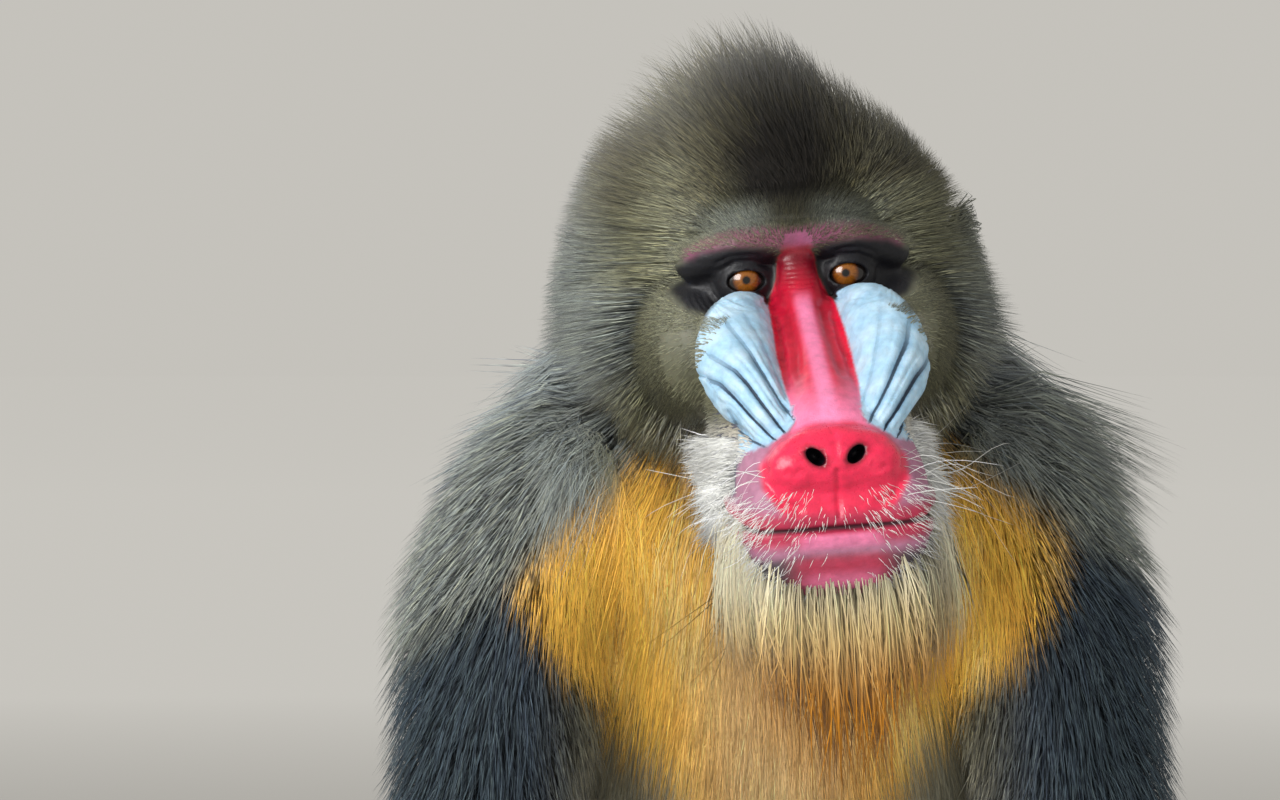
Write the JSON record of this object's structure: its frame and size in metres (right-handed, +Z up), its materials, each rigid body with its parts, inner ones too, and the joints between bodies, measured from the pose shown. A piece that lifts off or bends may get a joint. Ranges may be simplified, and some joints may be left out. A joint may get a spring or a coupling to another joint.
{
  "type": "mandrill",
  "caption": "Life-size adult male mandrill sitting upright, palms and soles on the floor, with crest, ruff, beard and ribbed blue and red face.",
  "frame": {"origin": "on the seat's flat on the floor, on the body's middle plane, below the hips", "axes": "+Z up, the chest and feet face -Y, the animal's left side is +X"},
  "size_m": [0.5506, 0.6416, 0.7501],
  "materials": {
    "coat_olive": "dense grizzled olive-brown coat",
    "coat_slate": "dense blue-grey coat of the arms",
    "coat_gold": "long soft yellow-orange coat of the chest",
    "coat_cream": "pale beard",
    "skin_red": "bare red skin with a soft sheen",
    "skin_blue": "bare ribbed pale blue skin",
    "skin_dark": "bare dark grey skin",
    "eye": "wet glossy amber eye"
  },
  "bodies": {
    "root": {"head": "coat_olive", "muzzle": "skin_red", "nose": "skin_red", "swelling_l": "skin_blue", "swelling_r": "skin_blue", "jaw": "coat_cream", "eye_l": "eye", "eye_r": "eye", "ear_l": "skin_dark", "ear_r": "skin_dark", "neck": "coat_olive", "chest": "coat_gold", "belly": "coat_olive", "rump": "coat_olive", "tail": "coat_olive", "upper_arm_l": "coat_slate", "upper_arm_r": "coat_slate", "forearm_l": "coat_slate", "forearm_r": "coat_slate", "hand_l": "skin_dark", "hand_r": "skin_dark", "thigh_l": "coat_olive", "thigh_r": "coat_olive", "shin_l": "coat_olive", "shin_r": "coat_olive", "foot_l": "skin_dark", "foot_r": "skin_dark"}
  },
  "joints": []
}
